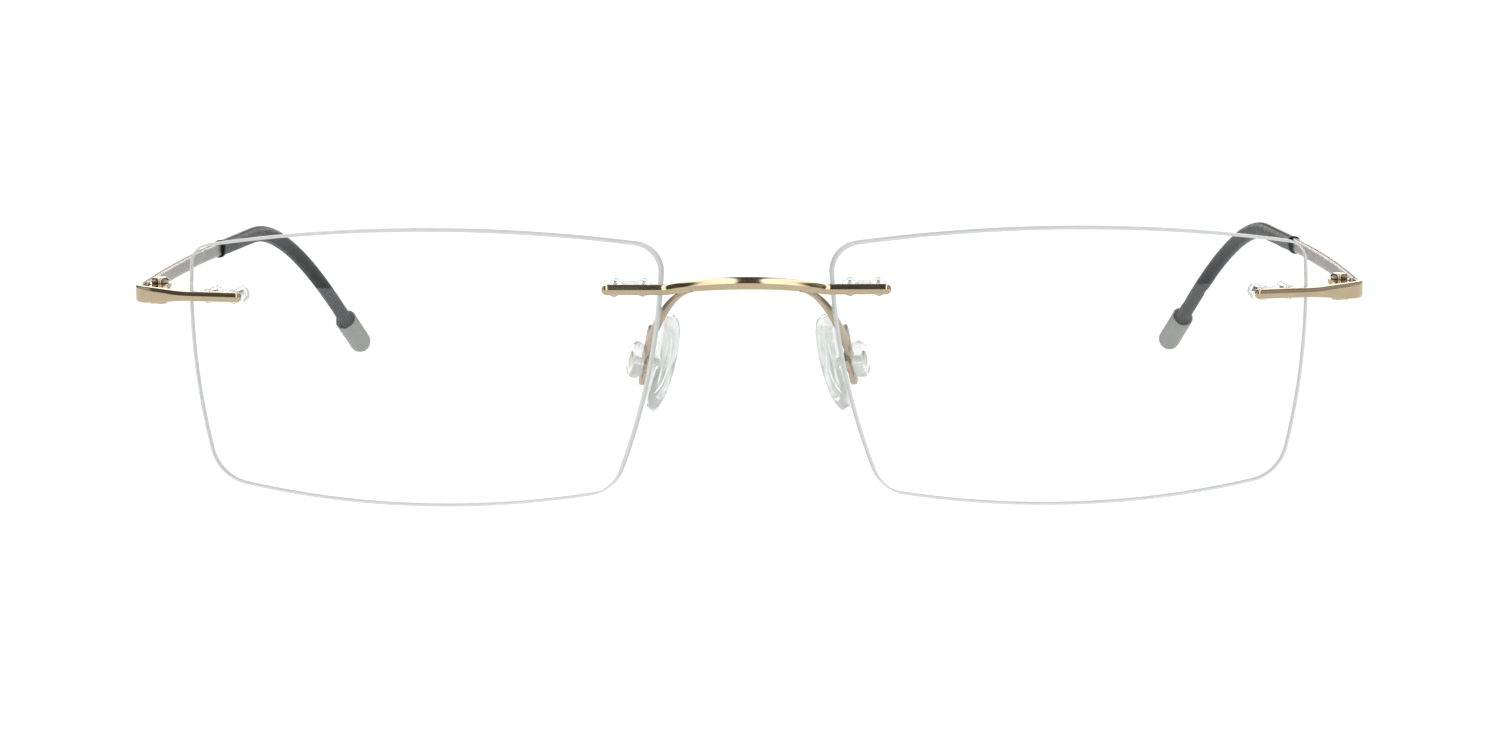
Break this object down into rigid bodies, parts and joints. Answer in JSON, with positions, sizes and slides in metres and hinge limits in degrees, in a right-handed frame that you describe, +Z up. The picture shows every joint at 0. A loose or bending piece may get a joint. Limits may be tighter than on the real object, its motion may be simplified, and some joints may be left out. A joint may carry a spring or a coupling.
{
  "type": "rimless eyeglasses",
  "caption": "Rimless eyeglasses with drilled rectangular lenses, a slim gold bridge, screw-hinged metal temples in dark bent sleeves, and clear rocking nose pads",
  "frame": {"origin": "On the table under the middle of the overall box: halfway between the hinge corners, halfway between the front of the bridge and the tips of the end caps, at the height of the lens bottoms and end caps", "axes": "+X to the right seen from the front, +Y back along the temples towards the wearer, +Z up; the temples are open"},
  "size_m": [0.139, 0.1492, 0.0312],
  "materials": {
    "polished_gold": "polished warm gold-brown plating on steel",
    "hinge_gold": "satin gold-brown plating",
    "pad_arm_gold": "satin gold-brown plating",
    "screw_metal": "polished gold-brown plating",
    "washer_metal": "dark satin",
    "temple_metal": "matte grey inside, gold-brown edges",
    "pad_core_metal": "polished",
    "clear_lens": "clear polished lens, ground edges",
    "clear_plug": "clear moulded plastic",
    "clear_pad": "clear soft moulded plastic",
    "dark_sleeve": "dark slate, semi-gloss",
    "satin_cap": "satin light grey, faintly speckled"
  },
  "bodies": {
    "front": {"bridge": "polished_gold", "left_lens": "clear_lens", "left_nasal_plug": "clear_plug", "left_temporal_plug": "clear_plug", "left_end_piece": "polished_gold", "left_hinge_screw": "screw_metal", "left_hinge_washers": "washer_metal", "left_pad_arm": "pad_arm_gold", "right_lens": "clear_lens", "right_nasal_plug": "clear_plug", "right_temporal_plug": "clear_plug", "right_end_piece": "polished_gold", "right_hinge_screw": "screw_metal", "right_hinge_washers": "washer_metal", "right_pad_arm": "pad_arm_gold"},
    "left_temple_body": {"left_temple": "temple_metal", "left_hinge_leaf": "hinge_gold", "left_temple_sleeve": "dark_sleeve", "left_end_cap": "satin_cap"},
    "right_temple_body": {"right_temple": "temple_metal", "right_hinge_leaf": "hinge_gold", "right_temple_sleeve": "dark_sleeve", "right_end_cap": "satin_cap"},
    "left_pad_body": {"left_nose_pad": "clear_pad", "left_pad_button": "clear_pad", "left_pad_core": "pad_core_metal"},
    "right_pad_body": {"right_nose_pad": "clear_pad", "right_pad_button": "clear_pad", "right_pad_core": "pad_core_metal"}
  },
  "joints": [
    {"name": "left_temple_fold", "type": "hinge", "parent": "front", "child": "left_temple_body", "pos_m": [-0.06707, -0.05846, 0.0231], "axis": [0, 0, -1], "range_deg": [0, 87]},
    {"name": "right_temple_fold", "type": "hinge", "parent": "front", "child": "right_temple_body", "pos_m": [0.06707, -0.05846, 0.0231], "axis": [0, 0, 1], "range_deg": [0, 80]},
    {"name": "left_pad_rock", "type": "hinge", "parent": "front", "child": "left_pad_body", "pos_m": [-0.01153, -0.06334, 0.01559], "axis": [0.1834, 0.0526, 0.9816], "range_deg": [-5, 5]},
    {"name": "right_pad_rock", "type": "hinge", "parent": "front", "child": "right_pad_body", "pos_m": [0.01153, -0.06334, 0.01559], "axis": [-0.1834, 0.0526, 0.9816], "range_deg": [-5, 5]}
  ]
}
